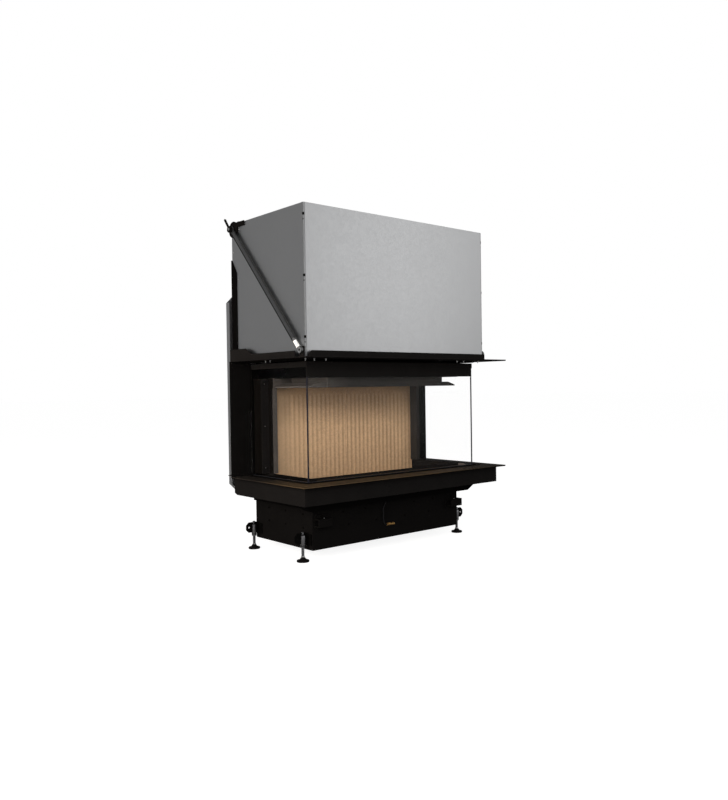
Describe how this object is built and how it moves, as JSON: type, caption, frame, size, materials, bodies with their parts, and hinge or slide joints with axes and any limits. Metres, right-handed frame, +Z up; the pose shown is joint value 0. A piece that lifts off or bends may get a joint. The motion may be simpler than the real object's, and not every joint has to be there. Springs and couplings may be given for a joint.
{
  "type": "wood-burning fireplace",
  "caption": "Built-in wood-burning fireplace insert with a three-sided glass door that lifts on counterweights into a steel jacket, over a shelf, trough and base on levelling feet.",
  "frame": {"origin": "centre of the base of the bounding box, on the plane of the levelling feet's pads", "axes": "+Z up, -Y towards the front glass, +X to the right of someone facing the front"},
  "size_m": [1.2, 0.7124, 1.4999],
  "materials": {
    "galvanised": "galvanised sheet, satin",
    "black_paint": "heat-resistant black paint, matt",
    "heat_grey": "heat-greyed steel, matt",
    "fireclay": "unglazed fireclay",
    "vermiculite": "pressed vermiculite board",
    "ceramic_glass": "clear glass ceramic",
    "zinc_steel": "bright zinc-plated steel",
    "raw_steel": "raw rolled steel",
    "wire_rope": "steel wire rope",
    "brass": "satin brass",
    "grey_sheath": "grey cable sheath"
  },
  "bodies": {
    "frame": {"base_box": "black_paint", "trough": "black_paint", "hearth_pan": "black_paint", "fireclay_floor": "fireclay", "fireclay_back_left": "fireclay", "fireclay_back_right": "fireclay", "firebox_back": "black_paint", "throat_frame": "heat_grey", "smoke_baffle": "vermiculite", "flue_dome": "heat_grey", "flue_collar": "black_paint", "shelf_plate": "black_paint", "shelf_apron": "black_paint", "upper_frame": "black_paint", "hood_front_panel": "galvanised", "hood_left_panel": "galvanised", "hood_right_panel": "galvanised", "hood_top_cover": "galvanised", "hood_rear_panel": "galvanised", "warm_air_spigot_left": "galvanised", "warm_air_spigot_right": "galvanised", "rear_upright_left": "black_paint", "rear_upright_right": "black_paint", "counterweight_duct_left": "galvanised", "counterweight_duct_right": "galvanised", "wing_panel_left": "black_paint", "wing_panel_right": "black_paint", "guide_rail_left": "zinc_steel", "guide_rail_right": "zinc_steel", "lift_cable_left": "wire_rope", "lift_cable_right": "wire_rope", "pulley_bracket_left": "black_paint", "pulley_bracket_right": "black_paint", "tie_bar_left": "galvanised", "tie_bar_right": "galvanised", "leg_bracket_front_left": "black_paint", "leg_bracket_front_right": "black_paint", "leg_bracket_rear_left": "black_paint", "leg_bracket_rear_right": "black_paint", "carrier_socket_left": "black_paint", "carrier_socket_right": "black_paint", "control_cable": "grey_sheath", "cable_clamp": "brass", "air_inlet_spigot": "galvanised"},
    "door": {"door_top_bar": "black_paint", "door_glass_front": "ceramic_glass", "door_glass_left": "ceramic_glass", "door_glass_right": "ceramic_glass", "door_stile_left": "black_paint", "door_stile_right": "black_paint"},
    "weight_left": {"counterweight_left": "raw_steel"},
    "weight_right": {"counterweight_right": "raw_steel"},
    "pulleys": {"pulley_shaft": "zinc_steel"},
    "lock_lever": {"shaft_lock_lever": "black_paint"},
    "flap": {"air_flap": "zinc_steel"},
    "foot_front_left": {"levelling_foot_front_left": "zinc_steel"},
    "foot_front_right": {"levelling_foot_front_right": "zinc_steel"},
    "foot_rear_left": {"levelling_foot_rear_left": "zinc_steel"},
    "foot_rear_right": {"levelling_foot_rear_right": "zinc_steel"}
  },
  "joints": [
    {"name": "door_lift", "type": "slide", "parent": "frame", "child": "door", "axis": [0, 0, 1], "range_m": [0, 0.45], "deforming": ["lift_cable_left", "lift_cable_right"]},
    {"name": "weight_left_slide", "type": "slide", "parent": "frame", "child": "weight_left", "axis": [0, 0, 1], "range_m": [-0.45, 0]},
    {"name": "weight_right_slide", "type": "slide", "parent": "frame", "child": "weight_right", "axis": [0, 0, 1], "range_m": [-0.45, 0]},
    {"name": "pulley_turn", "type": "hinge", "parent": "frame", "child": "pulleys", "pos_m": [0, 0.26585, 1.4339], "axis": [1, 0, 0], "range_deg": [-700, 0]},
    {"name": "lock_lever_turn", "type": "hinge", "parent": "frame", "child": "lock_lever", "pos_m": [-0.551, 0.26585, 1.4339], "axis": [1, 0, 0], "range_deg": [0, 60]},
    {"name": "flap_turn", "type": "hinge", "parent": "frame", "child": "flap", "pos_m": [0, 0.29615, 0.13], "axis": [1, 0, 0], "range_deg": [-90, 0]},
    {"name": "foot_front_left_screw", "type": "slide", "parent": "frame", "child": "foot_front_left", "axis": [0, 0, 1], "range_m": [-0.03, 0]},
    {"name": "foot_front_right_screw", "type": "slide", "parent": "frame", "child": "foot_front_right", "axis": [0, 0, 1], "range_m": [-0.03, 0]},
    {"name": "foot_rear_left_screw", "type": "slide", "parent": "frame", "child": "foot_rear_left", "axis": [0, 0, 1], "range_m": [-0.03, 0]},
    {"name": "foot_rear_right_screw", "type": "slide", "parent": "frame", "child": "foot_rear_right", "axis": [0, 0, 1], "range_m": [-0.03, 0]}
  ],
  "couplings": [
    {"joint": "weight_left_slide", "follows": "door_lift", "ratio": -1},
    {"joint": "weight_right_slide", "follows": "door_lift", "ratio": -1},
    {"joint": "pulley_turn", "follows": "door_lift", "rad_per_m": -27.027}
  ]
}
